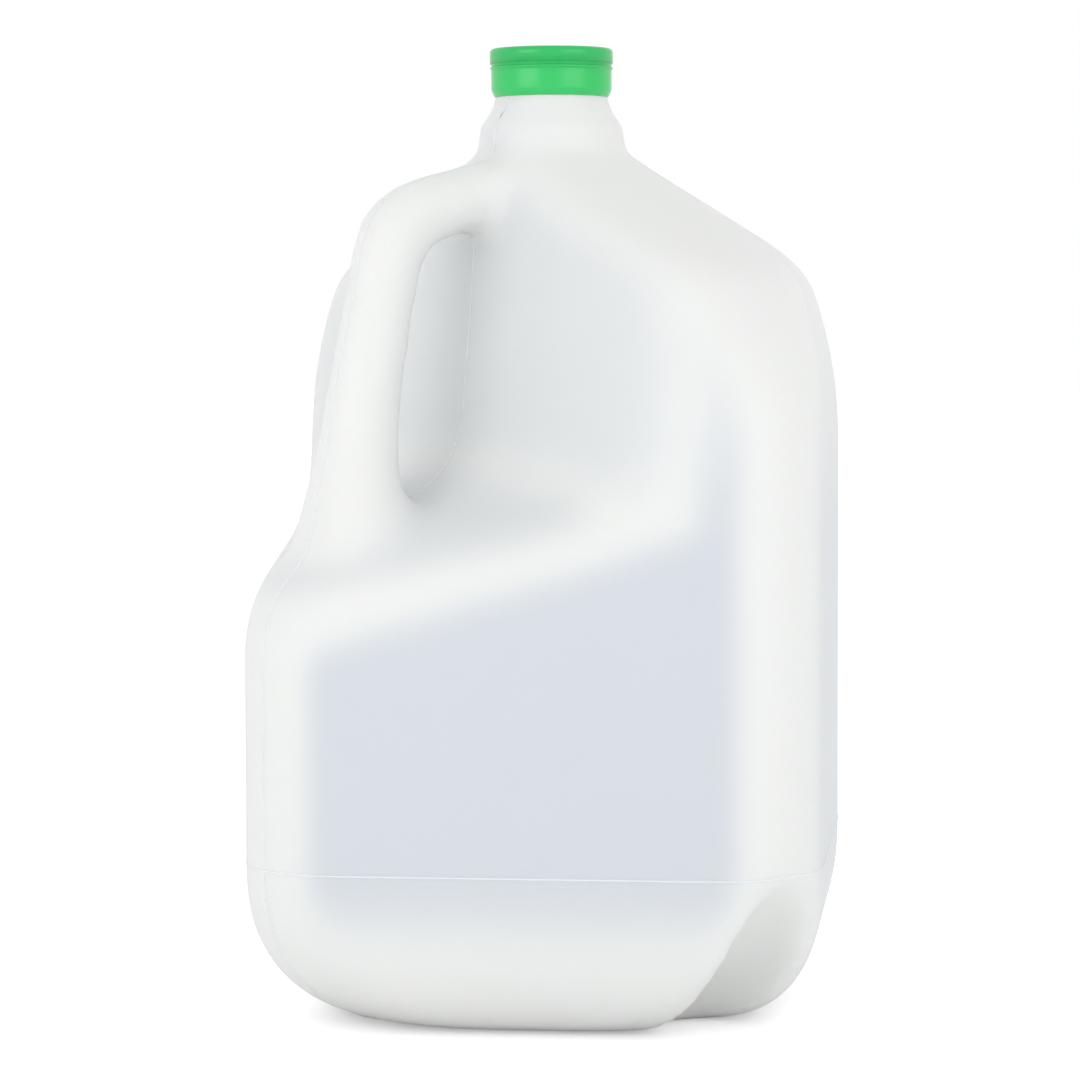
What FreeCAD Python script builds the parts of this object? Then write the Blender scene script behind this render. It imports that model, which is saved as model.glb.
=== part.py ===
"""One-gallon blow-moulded drink jug: a square body with a hollow corner handle, and its cap.

Frame: +Z is up, the origin is the middle of the base on the neck's axis, the front is -Y.
The handle stands at the corner towards -X and -Y. Two directions serve for it: out is the
distance from the axis towards that corner, and along is level and square to it.
"""
import FreeCAD, Part
import math
import os

from FreeCAD import Vector

# Body, in mm
HALF_WIDTH = 76.0          # from the axis to each of the four flat sides
CORNER_RADIUS = 27.0       # upright corners
CORNER_GROWTH = 14.0       # they grow by this much on the way up to the shoulder
FOOT_CORNER_GROWTH = 17.0  # and by this much on the way down to the foot
SIDE_TOP = 152.0           # the sides are upright up to here
NECK_FOOT = 230.4          # the shoulder ends in the round neck here
NECK_FOOT_RADIUS = 20.0
SHOULDER_BREAK = 199.4     # height of the bend between the side and the shoulder's slope
SHOULDER_SLOPE = 0.64      # rise for each mm inwards on the shoulder
SHOULDER_BEND = 9.0        # how softly the side turns into the slope
SIDE_TAPER = 8.5           # the sides lean in by this much on the way to the shoulder

# Base
BASE_ROUND_HEIGHT = 40.0   # the sides curve under from this height
BASE_ROUND_WIDTH = 26.0    # and reach the foot this far inwards
HOLLOW_RADIUS = 30.0       # shallow dome pushed up in the middle of the foot
HOLLOW_DEPTH = 4.0

# Grooves down the base's two corners off the parting plane, between its lobes
GROOVE_RADIUS = 14.0
GROOVE_TOP = (96.8, 44.0)  # (distance from the axis, height) of the groove's floor where it starts
GROOVE_FOOT = (48.0, -2.0)  # and where it runs out under the foot
GROOVE_CORNERS = (135.0, 315.0)

# Finger recess: a wall square to the diagonal, over a floor that falls outwards and to both sides
WALL_OUT = 27.3            # distance of the wall from the axis at WALL_HEIGHT
WALL_HEIGHT = 197.4
WALL_LEAN = 0.09           # the wall comes out this much for each mm down
WALL_BULGE = 4.0           # the wall's ends fall back this much from its middle
FLOOR_OUT = 53.0           # the floor's ridge passes here
FLOOR_HEIGHT = 136.0
FLOOR_FALL = 0.45          # fall for each mm outwards
FLOOR_SIDE_FALL = 0.17     # fall for each mm to either side of the ridge
FLOOR_BLEND = 16.0         # how softly the wall turns into the floor
RIDGE_BLEND = 16.0         # how broadly the floor's ridge is rounded
RECESS_EDGE = 12.5        # rounding of the recess's outer edges

# Handle: (out, height) along its middle line, with half its thickness and half its width
HANDLE_STATIONS = (
    (14.0, 220.4, 7.2, 11.0),
    (30.0, 217.6, 7.8, 10.2),
    (45.0, 213.4, 8.8, 9.2),
    (53.6, 206.6, 9.4, 8.8),
    (57.0, 195.5, 8.9, 8.5),
    (61.0, 177.5, 9.3, 8.7),
    (63.6, 164.0, 9.6, 9.2),
    (65.2, 153.5, 9.9, 10.2),
    (66.3, 143.5, 11.0, 13.0),
    (67.2, 134.5, 12.2, 15.8),
    (68.0, 122.0, 12.8, 17.0),
    (68.0, 104.0, 12.0, 16.0),
)
HANDLE_CORNER = 0.82       # corner radius, as a share of the smaller half size

# Neck, (radius, height) up its outside
NECK_OUTLINE = (
    (19.3, 231.0),
    (19.8, 234.8),
    (19.4, 237.0),
    (17.6, 239.3),
    (16.0, 242.2),
    (15.3, 244.8),
)
NECK_FINISH_RADIUS = 14.9  # plain cylinder under the cap
NECK_TOP = 256.6
NECK_DEPTH = 12.0          # the neck's core reaches this far down into the shoulder

# Cap
CAP_RADIUS = 16.6
CAP_FOOT = 245.2
CAP_TOP = 258.2
CAP_BORE = 15.1
CAP_EDGE = 1.1             # rounding of the top edge
CAP_BAND_FOOT = 252.0      # the plain band at the top ends in a shallow groove
CAP_GROOVE_HEIGHT = 0.7
CAP_GROOVE_DEPTH = 0.45
CAP_SKIRT_RADIUS = 16.4    # the skirt below the groove

HANDLE_TURN = 225.0        # angle of the handle's corner about +Z
ROOT2 = math.sqrt(2.0)

# Rings of points that the body's skin passes through
RING_DIRECTIONS = 240      # directions in which each ring is traced
HALVINGS = 28              # steps that find the surface in one direction
RING_POINTS = 80
RING_SHIFT = 22.0          # the rings' middle lies this far off the axis, away from the handle
HANDLE_RING_POINTS = 16
FOOT_SECTIONS = 8
LEVEL_RUNS = (             # (from, to, number of steps)
    (BASE_ROUND_HEIGHT, 88.0, 4),
    (88.0, 162.0, 15),
    (162.0, NECK_FOOT, 13),
)


def soft_max(a, b, blend):
    """The larger of two values, with a rounded change from one to the other."""
    near = max(blend - abs(a - b), 0.0)
    return max(a, b) + 0.25 * near ** 2 / blend


def side_distance(height):
    """Distance of the four sides from the axis at a height."""
    if height < BASE_ROUND_HEIGHT:
        share = (BASE_ROUND_HEIGHT - height) / BASE_ROUND_HEIGHT
        return HALF_WIDTH - BASE_ROUND_WIDTH * (1.0 - math.sqrt(1.0 - share ** 2))
    slope = NECK_FOOT_RADIUS + (NECK_FOOT - height) / SHOULDER_SLOPE
    above = max(height - SIDE_TOP, 0.0) / (SHOULDER_BREAK - SIDE_TOP)
    side = HALF_WIDTH - SIDE_TAPER * above ** 2
    return -soft_max(-slope, -side, SHOULDER_BEND)


def corner_radius(height):
    """Radius of the upright corners, which grows into the full circle of the neck."""
    rise = min(max(height - SIDE_TOP, 0.0) / (SHOULDER_BREAK - SIDE_TOP), 1.0)
    share = max(height - SHOULDER_BREAK, 0.0) / (NECK_FOOT - SHOULDER_BREAK)
    sink = max(BASE_ROUND_HEIGHT - height, 0.0) / BASE_ROUND_HEIGHT
    radius = CORNER_RADIUS + CORNER_GROWTH * rise ** 2 + FOOT_CORNER_GROWTH * sink ** 2
    return radius * (1.0 - share) + side_distance(height) * share


def past_sides(x, y, height):
    """Distance of a point past the rounded square of its level; less than nothing inside."""
    radius = corner_radius(height)
    core = side_distance(height) - radius
    dx = abs(x) - core
    dy = abs(y) - core
    return math.hypot(max(dx, 0.0), max(dy, 0.0)) + min(max(dx, dy), 0.0) - radius


def past_recess(x, y, height):
    """Distance of a point past the wall and floor of the finger recess."""
    out = -(x + y) / ROOT2
    beside = (x - y) / ROOT2
    along = math.hypot(beside, RIDGE_BLEND) - RIDGE_BLEND
    wall = out - WALL_OUT - WALL_LEAN * (WALL_HEIGHT - height) + WALL_BULGE * (beside / HALF_WIDTH) ** 2
    ridge = FLOOR_HEIGHT - FLOOR_FALL * (out - FLOOR_OUT)
    floor = (height - ridge + FLOOR_SIDE_FALL * along) / math.hypot(1.0, FLOOR_FALL)
    return -soft_max(-wall, -floor, FLOOR_BLEND)


def past_body(x, y, height):
    """Distance of a point past the body's surface, the handle left out."""
    return soft_max(past_sides(x, y, height), past_recess(x, y, height), RECESS_EDGE)


def edge_point(angle, height):
    """Point of the body's surface in one direction from the ring's middle, found by halving."""
    shift = RING_SHIFT * min((NECK_FOOT - height) / (NECK_FOOT - SHOULDER_BREAK), 1.0)
    inside, outside = 0.0, 2.5 * HALF_WIDTH
    for _ in range(HALVINGS):
        middle = 0.5 * (inside + outside)
        point = Vector(shift + middle * math.cos(angle), shift + middle * math.sin(angle), height)
        if past_body(point.x, point.y, height) < 0.0:
            inside = middle
        else:
            outside = middle
    return point


def body_ring(height):
    """Evenly spaced points round the body at one height, from the corner behind the handle."""
    turn = 2.0 * math.pi / RING_DIRECTIONS
    trace = [edge_point(turn * i + 0.25 * math.pi, height) for i in range(RING_DIRECTIONS)]
    trace.append(trace[0])
    lengths = [0.0]
    for i in range(RING_DIRECTIONS):
        lengths.append(lengths[-1] + trace[i].distanceToPoint(trace[i + 1]))
    ring = []
    i = 0
    for step in range(RING_POINTS):
        wanted = lengths[-1] * step / RING_POINTS
        while lengths[i + 1] < wanted:
            i += 1
        share = (wanted - lengths[i]) / (lengths[i + 1] - lengths[i])
        ring.append(trace[i] + (trace[i + 1] - trace[i]) * share)
    return ring


def body_levels():
    """Heights of the body's level sections, closer together where the outline bends."""
    turns = [math.radians(90.0 * i / FOOT_SECTIONS) for i in range(FOOT_SECTIONS)]
    levels = [BASE_ROUND_HEIGHT * (1.0 - math.cos(turn)) for turn in turns]
    for foot, top, count in LEVEL_RUNS:
        levels += [foot + (top - foot) * i / count for i in range(count)]
    return levels + [NECK_FOOT]


def body_solid():
    """One smooth skin through level rings, closed by a flat foot and a flat top."""
    wires = []
    for height in body_levels():
        outline = Part.BSplineCurve()
        outline.interpolate(Points=body_ring(height), PeriodicFlag=True)
        wires.append(Part.Wire(outline.toShape()))
    return Part.makeLoft(wires, True, False)


def groove(corner_angle):
    """Round-bottomed slot that cuts a groove down one corner of the base."""
    foot = Vector(GROOVE_FOOT[0], 0.0, GROOVE_FOOT[1])
    top = Vector(GROOVE_TOP[0], 0.0, GROOVE_TOP[1])
    run = top - foot
    outwards = Vector(run.z, 0.0, -run.x).normalize()
    start = foot - run + outwards * GROOVE_RADIUS
    bar = Part.makeCylinder(GROOVE_RADIUS, 3.0 * run.Length, start, run)
    side = Vector(0.0, GROOVE_RADIUS, 0.0)
    mouth = Part.makePolygon([
        start - side, start + side,
        start + side + outwards * HALF_WIDTH, start - side + outwards * HALF_WIDTH,
        start - side,
    ])
    slot = bar.fuse(Part.Face(mouth).extrude(run * 3.0))
    slot.rotate(Vector(0, 0, 0), Vector(0, 0, 1), corner_angle)
    return slot


def handle():
    """Hollow grip from the neck down to the body's corner, as a skin over rounded sections."""
    wires = []
    count = len(HANDLE_STATIONS)
    for i in range(count):
        out, height, half_thick, half_wide = HANDLE_STATIONS[i]
        before = HANDLE_STATIONS[max(i - 1, 0)]
        after = HANDLE_STATIONS[min(i + 1, count - 1)]
        run = Vector(after[0] - before[0], 0.0, after[1] - before[1]).normalize()
        across = Vector(-run.z, 0.0, run.x)
        radius = HANDLE_CORNER * min(half_thick, half_wide)
        middle = Vector(out, 0.0, height)
        core_thick = half_thick - radius
        core_wide = half_wide - radius
        ring = []
        for step in range(HANDLE_RING_POINTS):
            angle = 2.0 * math.pi * (step + 0.5) / HANDLE_RING_POINTS
            thick = math.copysign(core_thick, math.cos(angle)) + radius * math.cos(angle)
            wide = math.copysign(core_wide, math.sin(angle)) + radius * math.sin(angle)
            ring.append(middle + across * thick + Vector(0.0, wide, 0.0))
        outline = Part.BSplineCurve()
        outline.interpolate(Points=ring, PeriodicFlag=True)
        wires.append(Part.Wire(outline.toShape()))
    solid = Part.makeLoft(wires, True, False)
    solid.rotate(Vector(0, 0, 0), Vector(0, 0, 1), HANDLE_TURN)
    return solid


def revolved(outline):
    """Solid of revolution about the axis, from (radius, height) points joined by straight lines."""
    points = [Vector(radius, 0.0, height) for radius, height in outline]
    face = Part.Face(Part.makePolygon(points + [points[0]]))
    return face.revolve(Vector(0, 0, 0), Vector(0, 0, 1), 360.0)


def neck():
    """Neck with its bead, and the plain finish that the cap goes over."""
    curve = Part.BSplineCurve()
    curve.interpolate(Points=[Vector(radius, 0.0, height) for radius, height in NECK_OUTLINE])
    radius, top = NECK_OUTLINE[-1]
    foot_radius, foot = NECK_OUTLINE[0]
    corners = [
        Vector(radius, 0.0, top),
        Vector(NECK_FINISH_RADIUS, 0.0, top),
        Vector(NECK_FINISH_RADIUS, 0.0, NECK_TOP),
        Vector(0.0, 0.0, NECK_TOP),
        Vector(0.0, 0.0, foot - NECK_DEPTH),
        Vector(foot_radius, 0.0, foot - NECK_DEPTH),
        Vector(foot_radius, 0.0, foot),
    ]
    edges = [curve.toShape()] + Part.makePolygon(corners).Edges
    return Part.Face(Part.Wire(edges)).revolve(Vector(0, 0, 0), Vector(0, 0, 1), 360.0)


def jug():
    solid = body_solid()
    for corner_angle in GROOVE_CORNERS:
        solid = solid.cut(groove(corner_angle))
    sphere_radius = (HOLLOW_RADIUS ** 2 + HOLLOW_DEPTH ** 2) / (2.0 * HOLLOW_DEPTH)
    solid = solid.cut(Part.makeSphere(sphere_radius, Vector(0, 0, HOLLOW_DEPTH - sphere_radius)))
    return solid.fuse(handle()).fuse(neck())


def cap():
    """Push-on cap: a cup with a plain band at its top and a skirt below."""
    groove_foot = CAP_BAND_FOOT - CAP_GROOVE_HEIGHT
    outside = revolved((
        (0.0, CAP_FOOT), (CAP_SKIRT_RADIUS, CAP_FOOT), (CAP_SKIRT_RADIUS, groove_foot),
        (CAP_RADIUS - CAP_GROOVE_DEPTH, groove_foot), (CAP_RADIUS - CAP_GROOVE_DEPTH, CAP_BAND_FOOT),
        (CAP_RADIUS, CAP_BAND_FOOT), (CAP_RADIUS, CAP_TOP), (0.0, CAP_TOP),
    ))
    rim = [edge for edge in outside.Edges if abs(edge.CenterOfMass.z - CAP_TOP) < 0.01
           and edge.Length > 6.0 * CAP_RADIUS]
    outside = outside.makeFillet(CAP_EDGE, rim)
    bore = Part.makeCylinder(CAP_BORE, NECK_TOP - CAP_FOOT, Vector(0, 0, CAP_FOOT))
    return outside.cut(bore)


os.makedirs("parts", exist_ok=True)
for name, piece in (("jug", jug()), ("cap", cap())):
    piece.exportStep("parts/" + name + ".step")
    print(name, len(piece.Solids), "solid,", round(piece.Volume / 1000.0, 1), "cm3, valid:", piece.isValid())
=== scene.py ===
import math

import bmesh
import bpy
import numpy as np
from mathutils import Matrix, Vector


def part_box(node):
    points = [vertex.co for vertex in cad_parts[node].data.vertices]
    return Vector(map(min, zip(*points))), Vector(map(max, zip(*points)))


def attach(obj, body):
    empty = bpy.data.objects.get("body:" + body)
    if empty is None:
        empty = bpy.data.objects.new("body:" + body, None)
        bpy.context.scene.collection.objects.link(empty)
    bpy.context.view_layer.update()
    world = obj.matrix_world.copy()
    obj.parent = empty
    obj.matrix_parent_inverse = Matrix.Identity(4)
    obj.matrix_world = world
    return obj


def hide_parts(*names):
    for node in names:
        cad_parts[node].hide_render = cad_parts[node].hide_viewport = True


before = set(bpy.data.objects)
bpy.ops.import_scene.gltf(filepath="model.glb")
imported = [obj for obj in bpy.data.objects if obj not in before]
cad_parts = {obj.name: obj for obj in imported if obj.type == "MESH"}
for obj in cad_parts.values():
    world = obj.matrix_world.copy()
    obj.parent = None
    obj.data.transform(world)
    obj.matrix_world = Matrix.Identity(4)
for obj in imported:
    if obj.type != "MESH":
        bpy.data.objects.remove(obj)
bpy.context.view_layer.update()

scene = bpy.context.scene


# ---------------------------------------------------------------------------
# Jug. One thin wall of natural polyethylene, blown in a two-part mould, with
# a hollow handle left standing at one corner beside the finger recess. The
# wall is milky and lets some of the room behind it through; its flat sides
# and its recess are painted a darker, cooler tone for the shade on them.
# ---------------------------------------------------------------------------

WALL = 0.0008                  # thickness of the blown wall
GRAIN = 0.0021                 # spacing of the skin's points
MERGE = 0.00001                # points of the solid's loose triangles this close are one
INSET = 0.0003                 # the skin stands this far inside, to leave room for the mould lines
ROUNDS = 8                     # rounds of smoothing over the body
NECK_ROUNDS = 2                # of which only these reach the neck, which keeps its bead
NECK_FOOT = (0.225, 0.231)     # the others fade out between these heights
FOOT_ROUNDS = 34               # further rounds melt the handle's foot into the shelf below it
FOOT_START = (0.098, 0.110)    # they come in between these heights
FOOT_END = (0.136, 0.152)      # fade out between these
FOOT_OUT = (0.040, 0.052)      # and come in over these distances from the axis
jug_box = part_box("jug")


def copy_of_node(name, node):
    """A new object whose mesh is a merged copy of a CAD node's mesh."""
    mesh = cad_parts[node].data.copy()
    mesh.name = name
    mesh.materials.clear()
    skin = bmesh.new()
    skin.from_mesh(mesh)
    bmesh.ops.remove_doubles(skin, verts=skin.verts, dist=MERGE)
    bmesh.ops.recalc_face_normals(skin, faces=skin.faces)
    skin.to_mesh(mesh)
    skin.free()
    piece = bpy.data.objects.new(name, mesh)
    scene.collection.objects.link(piece)
    return piece


def apply_modifiers(piece):
    """Turns a piece and its modifiers into one plain mesh."""
    graph = bpy.context.evaluated_depsgraph_get()
    graph.update()
    mesh = bpy.data.meshes.new_from_object(piece.evaluated_get(graph))
    piece.modifiers.clear()
    piece.data = mesh


def shade_smooth(mesh):
    mesh.polygons.foreach_set("use_smooth", [True] * len(mesh.polygons))


def points_of(mesh):
    flat = np.empty(len(mesh.vertices) * 3)
    mesh.vertices.foreach_get("co", flat)
    return flat.reshape(-1, 3)


def normals_of(mesh):
    flat = np.empty(len(mesh.vertices) * 3)
    mesh.vertices.foreach_get("normal", flat)
    return flat.reshape(-1, 3)


def set_points(mesh, spots):
    mesh.vertices.foreach_set("co", spots.ravel())
    mesh.update()


def smooth_step(span, value):
    """0 below a span of values and 1 above it, with a smooth rise between."""
    low, high = span
    share = np.clip((value - low) / (high - low), 0.0, 1.0)
    return share * share * (3.0 - 2.0 * share)


def inside_box(spots, box):
    """The same points, none of them outside a box."""
    low, high = box
    return np.clip(spots, np.array(low), np.array(high))


jug = copy_of_node("jug_wall", "jug")
grain = jug.modifiers.new("grain", "REMESH")
grain.mode = "VOXEL"
grain.voxel_size = GRAIN
apply_modifiers(jug)

edge_ends = np.empty(len(jug.data.edges) * 2, dtype=int)
jug.data.edges.foreach_get("vertices", edge_ends)
edge_ends = edge_ends.reshape(-1, 2)
spots = points_of(jug.data)
links = np.bincount(edge_ends.ravel(), minlength=len(spots))


def neighbour_mean(values):
    """The mean of a value over each point's neighbours."""
    total = np.bincount(edge_ends[:, 0], values[edge_ends[:, 1]], len(values))
    total += np.bincount(edge_ends[:, 1], values[edge_ends[:, 0]], len(values))
    return total / links


def relax(spots, weight, rounds):
    """Draws each point towards the mean of its neighbours, by its own weight."""
    for _ in range(rounds):
        means = np.stack([neighbour_mean(spots[:, axis]) for axis in range(3)], axis=1)
        spots = spots + weight[:, None] * (means - spots)
    return spots


def way_out(spots):
    """Distance of each point from the axis towards the handle's corner."""
    return -(spots[:, 0] + spots[:, 1]) / math.sqrt(2.0)


half = np.full(len(spots), 0.5)
below_neck = 1.0 - smooth_step(NECK_FOOT, spots[:, 2])
near_foot = smooth_step(FOOT_START, spots[:, 2]) * smooth_step(FOOT_OUT, way_out(spots))
near_foot *= 1.0 - smooth_step(FOOT_END, spots[:, 2])
spots = relax(spots, half, NECK_ROUNDS)
spots = relax(spots, half * below_neck, ROUNDS - NECK_ROUNDS)
spots = relax(spots, half * near_foot, FOOT_ROUNDS)
spots[:, 2] -= spots[:, 2].min()
spots[:, :2] *= 1.0 - INSET / jug_box[1].x
set_points(jug.data, inside_box(spots, jug_box))

# Painted shade: where the wall is flat and faces squarely, and in the finger recess and
# on its shelf, its tone is painted cooler and darker for the shade that falls there. The pairs
# below are where a fade starts and where it is complete, by how squarely a point faces,
# by its height, or by its way out from the axis.
FLAT_FACING = (0.94, 0.999)    # the painted shade on the flat sides comes in as they face squarely
FLANK_SHADE = 0.6               # how much painted shade the two flanks take, next to the front's 1
FLAT_FOOT = (0.016, 0.046)     # the flat sides rise out of the rounded foot
FLAT_TOP = (0.125, 0.180)      # and their painted shade fades below the shoulder
TOP_FADE = 0.7                 # by this much
FOLD_START = 0.0233            # the fold under the recess starts this far out
FOLD_HEIGHT = 0.129            # at this height
FOLD_FALL = 0.44               # and falls by this much for each metre further out
FOLD_EDGE = (-0.003, 0.007)    # the painted shade on the flat sides goes at these heights above the fold
FOLD_REACH = (FOLD_START - 0.006, FOLD_START + 0.002)  # on this side of where it starts
RECESS_SHADE = 0.38             # how strongly painted shade falls on the recess's wall and its shelf
RECESS_FACING = (0.80, 0.97)   # the recess's wall faces the handle
RECESS_FOOT = (0.120, 0.150)
RECESS_END = (0.040, 0.048)    # the handle itself keeps its plain tone
SHELF_FACING = (0.45, 0.75)    # the shelf faces up
SHELF_START = (0.030, 0.040)
SHELF_TOP = (0.148, 0.160)
TONE_ROUNDS = 12               # rounds of blurring over the painted shade's edges

spots = points_of(jug.data)
normals = normals_of(jug.data)
height = spots[:, 2]
beyond = way_out(spots)
front = smooth_step(FLAT_FACING, np.abs(normals[:, 1]))
flank = FLANK_SHADE * smooth_step(FLAT_FACING, np.abs(normals[:, 0]))
flat_side = np.maximum(front, flank) * smooth_step(FLAT_FOOT, height)
flat_side *= 1.0 - TOP_FADE * smooth_step(FLAT_TOP, height)
fold = FOLD_HEIGHT - FOLD_FALL * (beyond - FOLD_START)
flat_side *= 1.0 - smooth_step(FOLD_EDGE, height - fold) * smooth_step(FOLD_REACH, beyond)
recess = smooth_step(RECESS_FACING, way_out(normals)) * smooth_step(RECESS_FOOT, height)
recess *= 1.0 - smooth_step(RECESS_END, beyond)
shelf = smooth_step(SHELF_FACING, normals[:, 2]) * smooth_step(SHELF_START, beyond)
shelf *= 1.0 - smooth_step(SHELF_TOP, height)
painted_shade = np.maximum(flat_side, RECESS_SHADE * np.maximum(recess, shelf))
for _ in range(TONE_ROUNDS):
    painted_shade = 0.5 * painted_shade + 0.5 * neighbour_mean(painted_shade)
jug.data.attributes.new("painted_shade", "FLOAT", "POINT").data.foreach_set("value", painted_shade)


def linear(red, green, blue):
    """A display colour of 0 to 255 as the shader's own values."""
    parts = [part / 255.0 for part in (red, green, blue)]
    bright = [part / 12.92 if part < 0.04045 else ((part + 0.055) / 1.055) ** 2.4 for part in parts]
    return bright + [1.0]


def surface_nodes():
    """Shader nodes for two tones mixed in soft clouds, and for the height of fine pebbles."""
    tree = bpy.data.node_groups.new("clouds_and_pebbles", "ShaderNodeTree")
    tree.interface.new_socket("Place", in_out="INPUT", socket_type="NodeSocketVector")
    for name in ("Second tone share", "Cloud scale", "Cloud detail", "Cloud depth", "Pebble scale"):
        tree.interface.new_socket(name, in_out="INPUT", socket_type="NodeSocketFloat")
    for name in ("First tone", "Second tone"):
        tree.interface.new_socket(name, in_out="INPUT", socket_type="NodeSocketColor")
    tree.interface.new_socket("Tone", in_out="OUTPUT", socket_type="NodeSocketColor")
    tree.interface.new_socket("Pebbles", in_out="OUTPUT", socket_type="NodeSocketFloat")
    source = tree.nodes.new("NodeGroupInput")
    clouds = tree.nodes.new("ShaderNodeTexNoise")
    share = tree.nodes.new("ShaderNodeMath")
    share.operation = "MULTIPLY_ADD"
    tone = tree.nodes.new("ShaderNodeMix")
    tone.data_type = "RGBA"
    pebbles = tree.nodes.new("ShaderNodeTexNoise")
    result = tree.nodes.new("NodeGroupOutput")
    link = tree.links.new
    link(source.outputs["Place"], clouds.inputs["Vector"])
    link(source.outputs["Cloud scale"], clouds.inputs["Scale"])
    link(source.outputs["Cloud detail"], clouds.inputs["Detail"])
    link(clouds.outputs["Fac"], share.inputs[0])
    link(source.outputs["Cloud depth"], share.inputs[1])
    link(source.outputs["Second tone share"], share.inputs[2])
    link(share.outputs["Value"], tone.inputs["Factor"])
    link(source.outputs["First tone"], tone.inputs["A"])
    link(source.outputs["Second tone"], tone.inputs["B"])
    link(tone.outputs["Result"], result.inputs["Tone"])
    link(source.outputs["Place"], pebbles.inputs["Vector"])
    link(source.outputs["Pebble scale"], pebbles.inputs["Scale"])
    link(pebbles.outputs["Fac"], result.inputs["Pebbles"])
    return tree


surface_tree = surface_nodes()


def add_node(owner, kind, **settings):
    """A new node in a material or world, with its settings."""
    node = owner.node_tree.nodes.new(kind)
    for key, value in settings.items():
        setattr(node, key, value)
    return node


def toned_material(name, tones, clouds):
    """A material of two display colours in clouds of a scale, detail and depth.

    Returns it with its Principled shader and its surface node.
    """
    material = bpy.data.materials.new(name)
    material.use_nodes = True
    shader = material.node_tree.nodes["Principled BSDF"]
    place = add_node(material, "ShaderNodeTexCoord")
    surface = add_node(material, "ShaderNodeGroup", node_tree=surface_tree)
    surface.inputs["First tone"].default_value = linear(*tones[0])
    surface.inputs["Second tone"].default_value = linear(*tones[1])
    for socket, value in zip(("Cloud scale", "Cloud detail", "Cloud depth"), clouds):
        surface.inputs[socket].default_value = value
    material.node_tree.links.new(place.outputs["Object"], surface.inputs["Place"])
    material.node_tree.links.new(surface.outputs["Tone"], shader.inputs["Base Color"])
    return material, shader, surface


def add_pebbles(material, shader, surface, scale, strength, distance):
    """The fine unevenness of a moulded surface, as relief."""
    surface.inputs["Pebble scale"].default_value = scale
    relief = add_node(material, "ShaderNodeBump")
    relief.inputs["Strength"].default_value = strength
    relief.inputs["Distance"].default_value = distance
    material.node_tree.links.new(surface.outputs["Pebbles"], relief.inputs["Height"])
    material.node_tree.links.new(relief.outputs["Normal"], shader.inputs["Normal"])


def milky_polyethylene(name, plain_tone, shade_tone, clearness):
    """Natural polyethylene, painted from its plain tone towards a darker shade tone by the painted shade
    the mesh carries.
    """
    tones = (plain_tone, shade_tone)
    material, shader, surface = toned_material(name, tones, clouds=(22.0, 3.0, 0.12))
    add_pebbles(material, shader, surface, scale=450.0, strength=0.12, distance=0.0004)
    shade_share = add_node(material, "ShaderNodeAttribute", attribute_name="painted_shade")
    material.node_tree.links.new(shade_share.outputs["Fac"], surface.inputs["Second tone share"])
    shader.inputs["Roughness"].default_value = 0.44
    shader.inputs["IOR"].default_value = 1.52
    shader.inputs["Specular IOR Level"].default_value = 0.4
    shader.inputs["Transmission Weight"].default_value = clearness
    return material


# The second tone is the painted shade of the wall's flat sides and recess.
milky = milky_polyethylene("milky_polyethylene", (253, 254, 252), (227, 232, 238), 0.30)


# ---------------------------------------------------------------------------
# Mould lines. Two fine ridges that the mould left in the wall: one round the
# body where the base's insert met the halves, and one up the plane through
# the handle where the two halves met. Each follows a cut through the skin.
# ---------------------------------------------------------------------------

INSERT_HEIGHT = 0.0437         # of the line round the body above the foot
INSERT_RIDGE = 0.00030         # radius of a ridge, half of it sunk into the wall
SEAM_RIDGE = 0.00022
RIDGE_STEP = 0.0016            # spacing of the points along a ridge
RIDGE_SIDES = 8                # round a ridge


def cut_through(name, mesh, point, normal):
    """The edges where a plane meets a mesh, as an object of their own."""
    cut = bmesh.new()
    cut.from_mesh(mesh)
    parts = cut.verts[:] + cut.edges[:] + cut.faces[:]
    plane = {"plane_co": point, "plane_no": normal}
    bmesh.ops.bisect_plane(cut, geom=parts, clear_inner=True, clear_outer=True, **plane)
    outline = bpy.data.meshes.new(name)
    cut.to_mesh(outline)
    cut.free()
    piece = bpy.data.objects.new(name, outline)
    scene.collection.objects.link(piece)
    return piece


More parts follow.
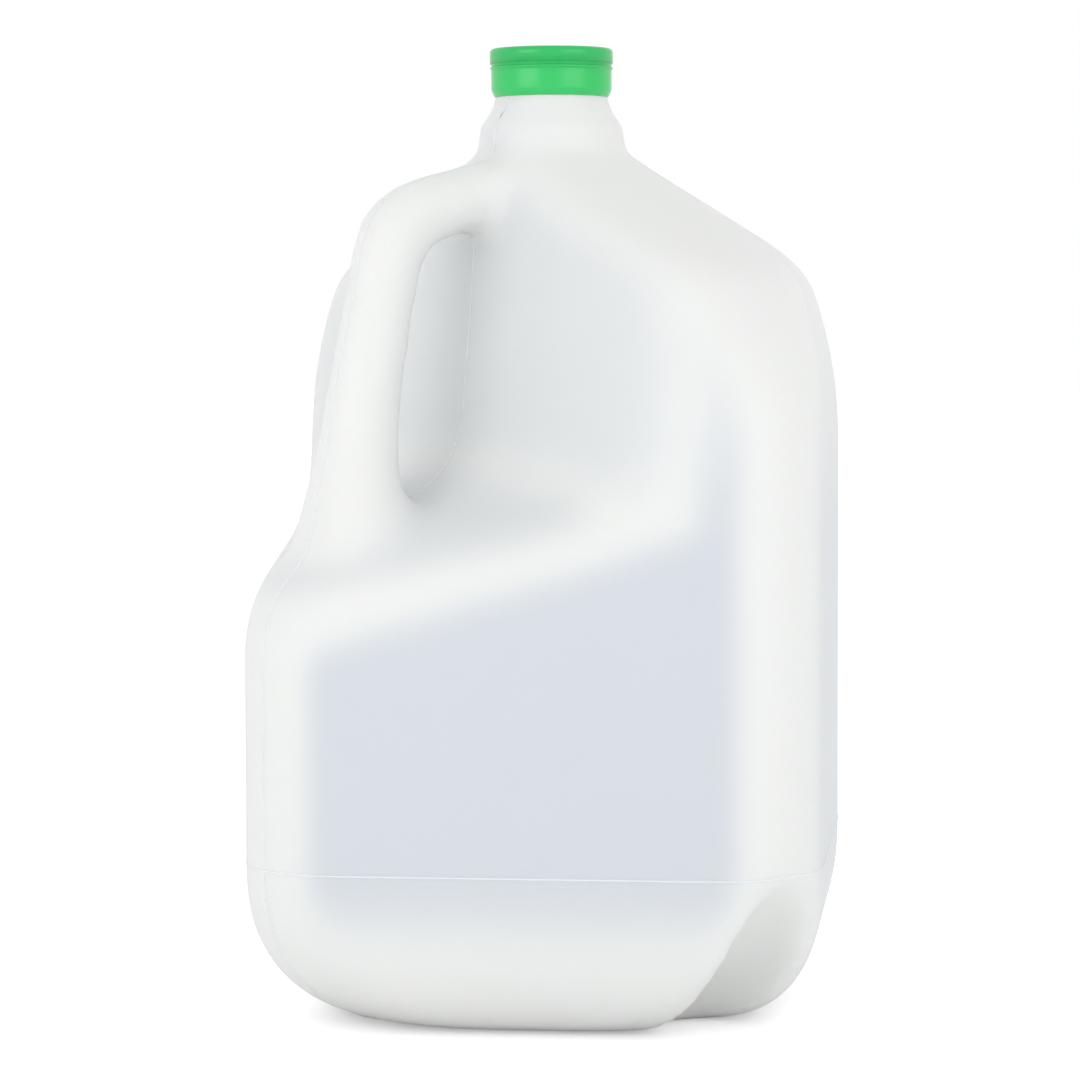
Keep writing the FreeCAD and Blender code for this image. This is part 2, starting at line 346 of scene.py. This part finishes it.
def ridge_nodes(material):
    """Geometry nodes that lay a fine round ridge along the edges of a mesh."""
    tree = bpy.data.node_groups.new("mould_ridge", "GeometryNodeTree")
    tree.interface.new_socket("Edges", in_out="INPUT", socket_type="NodeSocketGeometry")
    radius = tree.interface.new_socket("Ridge radius", in_out="INPUT", socket_type="NodeSocketFloat")
    step = tree.interface.new_socket("Point spacing", in_out="INPUT", socket_type="NodeSocketFloat")
    tree.interface.new_socket("Ridge", in_out="OUTPUT", socket_type="NodeSocketGeometry")
    source = tree.nodes.new("NodeGroupInput")
    path = tree.nodes.new("GeometryNodeMeshToCurve")
    even = tree.nodes.new("GeometryNodeResampleCurve")
    even.mode = "LENGTH"
    profile = tree.nodes.new("GeometryNodeCurvePrimitiveCircle")
    profile.inputs["Resolution"].default_value = RIDGE_SIDES
    tube = tree.nodes.new("GeometryNodeCurveToMesh")
    smooth = tree.nodes.new("GeometryNodeSetShadeSmooth")
    real = tree.nodes.new("GeometryNodeRealizeInstances")
    paint = tree.nodes.new("GeometryNodeSetMaterial")
    paint.inputs["Material"].default_value = material
    result = tree.nodes.new("NodeGroupOutput")
    link = tree.links.new
    link(source.outputs["Edges"], path.inputs["Mesh"])
    link(path.outputs["Curve"], even.inputs["Curve"])
    link(source.outputs["Point spacing"], even.inputs["Length"])
    link(source.outputs["Ridge radius"], profile.inputs["Radius"])
    link(even.outputs["Curve"], tube.inputs["Curve"])
    link(profile.outputs["Curve"], tube.inputs["Profile Curve"])
    link(tube.outputs["Mesh"], smooth.inputs["Geometry"])
    link(smooth.outputs["Geometry"], real.inputs["Geometry"])
    link(real.outputs["Geometry"], paint.inputs["Geometry"])
    link(paint.outputs["Geometry"], result.inputs["Ridge"])
    return tree, radius.identifier, step.identifier


# The mould ridges are a darker copy of the milky plastic, painted shade that holds down the light they
# catch; they let no light through.
shaded_solid_milky = milky_polyethylene("milky_polyethylene_solid_shaded", (225, 229, 233), (218, 223, 228), 0.0)
ridge_tree, radius_socket, step_socket = ridge_nodes(shaded_solid_milky)


def lay_ridge(name, point, normal, radius):
    """One mould line where a plane meets the jug's skin."""
    line = cut_through(name, jug.data, point, normal)
    follow = line.modifiers.new("follow", "NODES")
    follow.node_group = ridge_tree
    follow[radius_socket] = radius
    follow[step_socket] = RIDGE_STEP
    apply_modifiers(line)
    set_points(line.data, inside_box(points_of(line.data), jug_box))
    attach(line, "root")


lay_ridge("insert_line", (0.0, 0.0, INSERT_HEIGHT), (0.0, 0.0, 1.0), INSERT_RIDGE)
lay_ridge("parting_seam", (0.0, 0.0, 0.0), (1.0, -1.0, 0.0), SEAM_RIDGE)

# The skin becomes a wall once the mould lines have been taken from it
thicken = jug.modifiers.new("wall", "SOLIDIFY")
thicken.thickness = WALL
thicken.offset = -1.0
apply_modifiers(jug)
shade_smooth(jug.data)
jug.data.materials.append(milky)
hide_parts("jug")
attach(jug, "root")


# ---------------------------------------------------------------------------
# Cap. A green polyethylene cup pressed over the neck: a plain band at its
# top, a raised bead below it and a skirt that draws in to a thin lip.
# ---------------------------------------------------------------------------

CAP_WALL = 0.0014
CAP_ROUND = 0.0011             # rounding of the top edge
SKIRT_STEP = 0.00035           # the skirt stands back from the band by this much
BEAD_HEIGHT = 0.0077           # of the bead's middle above the cap's foot
BEAD_RADIUS = 0.00042
BEAD_SINK = 0.0001             # the bead's middle lies this far inside the skirt's face
BEAD_ARC = 75.0                # degrees of its round to each side
RIM_RADIUS = 0.5 * BEAD_RADIUS  # of the finer rim between the bead and the band
RIM_RISE = 2.6 * BEAD_RADIUS   # the rim's middle above the bead's
RIM_ARC = 60.0
VALLEY_RISE = 1.5 * BEAD_RADIUS  # of the valley between the bead and the rim
VALLEY_DEPTH = 0.0002
BAND_RISE = 3.0 * BEAD_RADIUS  # the band ends this far above the bead's middle
SKIRT_FALL = 2.0 * BEAD_RADIUS  # and the skirt starts this far below it
LIP_HEIGHT = 0.0016            # the skirt draws in over this height
LIP_DRAW = 0.0007              # by this much
LIP_SHOULDER = 0.0006          # the draw starts softly, over this height
LIP_SHARE = 0.2                # and with this share of it
LIP_EDGE = 0.0003              # bevel of the lip's edge
CORNER_CUT = 0.0004            # bevel of the corner under the top
TOP_RING = 0.5                 # a ring half way out keeps the top's faces short
ROUND_STEPS = 6
RIM_STEPS = 4
CAP_SIDES = 128
cap_low, cap_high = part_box("cap")
cap_radius = cap_high.x
cap_foot = cap_low.z
cap_top = cap_high.z


def arc(centre, radius, start, end, steps):
    """Points (distance from the axis, height) along an arc, angles in degrees."""
    turns = [math.radians(start + (end - start) * step / steps) for step in range(steps + 1)]
    return [(centre[0] + radius * math.cos(turn), centre[1] + radius * math.sin(turn)) for turn in turns]


def lathe(name, outline, sides):
    """A closed solid of revolution about the axis from an outline that starts and ends on it."""
    body = bmesh.new()
    turns = [2.0 * math.pi * side / sides for side in range(sides)]
    circle = [(math.cos(turn), math.sin(turn)) for turn in turns]
    rings = []
    for out, level in outline[1:-1]:
        rings.append([body.verts.new((out * x, out * y, level)) for x, y in circle])
    for near, far in zip(rings[:-1], rings[1:]):
        for side in range(sides):
            after = (side + 1) % sides
            body.faces.new((near[side], near[after], far[after], far[side]))
    for ring, tip in ((rings[0], outline[0]), (rings[-1], outline[-1])):
        centre = body.verts.new((0.0, 0.0, tip[1]))
        for side in range(sides):
            body.faces.new((centre, ring[side], ring[(side + 1) % sides]))
    bmesh.ops.recalc_face_normals(body, faces=body.faces)
    mesh = bpy.data.meshes.new(name)
    body.to_mesh(mesh)
    body.free()
    shade_smooth(mesh)
    piece = bpy.data.objects.new(name, mesh)
    scene.collection.objects.link(piece)
    return piece


bead = cap_foot + BEAD_HEIGHT
skirt = cap_radius - SKIRT_STEP
lip = skirt - LIP_DRAW
bore = cap_radius - CAP_WALL
ceiling = cap_top - CAP_WALL
outline = [(0.0, cap_top), (TOP_RING * cap_radius, cap_top)]
outline += arc((cap_radius - CAP_ROUND, cap_top - CAP_ROUND), CAP_ROUND, 90.0, 0.0, ROUND_STEPS)
outline += [(cap_radius, bead + BAND_RISE)]
outline += arc((skirt, bead + RIM_RISE), RIM_RADIUS, RIM_ARC, -RIM_ARC, RIM_STEPS)
outline += [(skirt - VALLEY_DEPTH, bead + VALLEY_RISE)]
outline += arc((skirt - BEAD_SINK, bead), BEAD_RADIUS, BEAD_ARC, -BEAD_ARC, ROUND_STEPS)
outline += [(skirt, bead - SKIRT_FALL), (skirt, cap_foot + LIP_HEIGHT + LIP_SHOULDER)]
outline += [(skirt - LIP_SHARE * LIP_DRAW, cap_foot + LIP_HEIGHT), (lip, cap_foot + LIP_EDGE)]
outline += [(lip - LIP_EDGE, cap_foot), (bore, cap_foot), (bore, ceiling - CORNER_CUT)]
outline += [(bore - CORNER_CUT, ceiling), (TOP_RING * cap_radius, ceiling), (0.0, ceiling)]
cap = lathe("cap_shell", outline, CAP_SIDES)
set_points(cap.data, inside_box(points_of(cap.data), (cap_low, cap_high)))

# Painted light: the top band is painted a darker green than the skirt, whose lighter tone stands in for
# light coming through it from the neck.
SHADE_START = bead - 0.0022     # painted shade: the green darkens from here
SHADE_END = bead + 0.0016       # up to here, and stays dark over the band
greens = ((46, 192, 98), (36, 180, 92))
green, shader, surface = toned_material("green_polyethylene", greens, clouds=(160.0, 2.0, 0.25))
add_pebbles(green, shader, surface, scale=900.0, strength=0.1, distance=0.0002)
shader.inputs["Roughness"].default_value = 0.26
shader.inputs["Specular IOR Level"].default_value = 0.45
place = add_node(green, "ShaderNodeTexCoord")
level = add_node(green, "ShaderNodeSeparateXYZ")
band_shade = add_node(green, "ShaderNodeMapRange")
band_shade.inputs["From Min"].default_value = SHADE_START
band_shade.inputs["From Max"].default_value = SHADE_END
wire = green.node_tree.links.new
wire(place.outputs["Object"], level.inputs["Vector"])
wire(level.outputs["Z"], band_shade.inputs["Value"])
wire(band_shade.outputs["Result"], surface.inputs["Second tone share"])
cap.data.materials.append(green)
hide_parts("cap")
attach(cap, "root")


# ---------------------------------------------------------------------------
# Setting. A white floor and backdrop, an even white room, a large soft lamp
# low at each side, and the camera.
# ---------------------------------------------------------------------------

FLOOR_SIZE = 12.0
FLOOR_GLOW = 0.30              # lifts the floor to white for the camera alone
bpy.ops.mesh.primitive_plane_add(size=FLOOR_SIZE)
floor = bpy.context.object
floor.name = "floor"
whites = ((252, 252, 252), (254, 254, 254))
white, shader, surface = toned_material("white_floor", whites, clouds=(40.0, 2.0, 1.0))
shader.inputs["Roughness"].default_value = 0.9
shader.inputs["Emission Color"].default_value = (FLOOR_GLOW, FLOOR_GLOW, FLOOR_GLOW, 1.0)
sight = add_node(white, "ShaderNodeLightPath")
white.node_tree.links.new(sight.outputs["Is Camera Ray"], shader.inputs["Emission Strength"])
floor.data.materials.append(white)

ROOM_LIGHT = 0.98              # brightness of the room as the object sees it
BACKDROP_LIGHT = 1.0           # and as the camera does, past the object or through it
world = bpy.data.worlds.new("room")
scene.world = world
world.use_nodes = True
backdrop = world.node_tree.nodes["Background"]
backdrop.inputs["Color"].default_value = (1.0, 1.0, 1.0, 1.0)
sight = add_node(world, "ShaderNodeLightPath")
seen = add_node(world, "ShaderNodeMath", operation="MAXIMUM")
strength = add_node(world, "ShaderNodeMapRange")
strength.inputs["To Min"].default_value = ROOM_LIGHT
strength.inputs["To Max"].default_value = BACKDROP_LIGHT
wire = world.node_tree.links.new
wire(sight.outputs["Is Camera Ray"], seen.inputs[0])
wire(sight.outputs["Is Transmission Ray"], seen.inputs[1])
wire(seen.outputs["Value"], strength.inputs["Value"])
wire(strength.outputs["Result"], backdrop.inputs["Strength"])

LAMP_SIZE = 0.9
middle = Vector((0.0, 0.0, 0.5 * cap_top))


def soft_lamp(name, place, power):
    """A square area lamp of a power in watts, turned to the middle of the jug."""
    lamp = bpy.data.lights.new(name, "AREA")
    lamp.shape = "SQUARE"
    lamp.size = LAMP_SIZE
    lamp.energy = power
    holder = bpy.data.objects.new(name, lamp)
    scene.collection.objects.link(holder)
    holder.location = place
    holder.rotation_euler = (middle - Vector(place)).to_track_quat("-Z", "Y").to_euler()


soft_lamp("left_lamp", (-0.8, -1.0, 0.06), 5.0)
soft_lamp("right_lamp", (0.9, -0.8, 0.06), 3.8)

VIEW_AZIMUTH = math.radians(6.44)
VIEW_DISTANCE = 1.0576         # of the eye from the jug's axis
EYE_HEIGHT = 0.1946
AIM = (-0.0035, 0.1253)        # the point looked at: to the right of the axis, and up
FOCAL_SPAN = 3.604             # focal length, in widths of the frame
VIEW_ROLL = math.radians(-0.19)
sight_right = Vector((math.cos(VIEW_AZIMUTH), math.sin(VIEW_AZIMUTH), 0.0))
towards = Vector((math.sin(VIEW_AZIMUTH), -math.cos(VIEW_AZIMUTH), 0.0))
camera = bpy.data.objects.new("camera", bpy.data.cameras.new("camera"))
scene.collection.objects.link(camera)
scene.camera = camera
camera.location = towards * VIEW_DISTANCE + Vector((0.0, 0.0, EYE_HEIGHT))
aim = sight_right * AIM[0] + Vector((0.0, 0.0, AIM[1]))
turn = (aim - camera.location).to_track_quat("-Z", "Y").to_matrix()
camera.rotation_euler = (turn @ Matrix.Rotation(VIEW_ROLL, 3, "Z")).to_euler()
camera.data.lens = FOCAL_SPAN * camera.data.sensor_width

scene.view_settings.view_transform = "Standard"
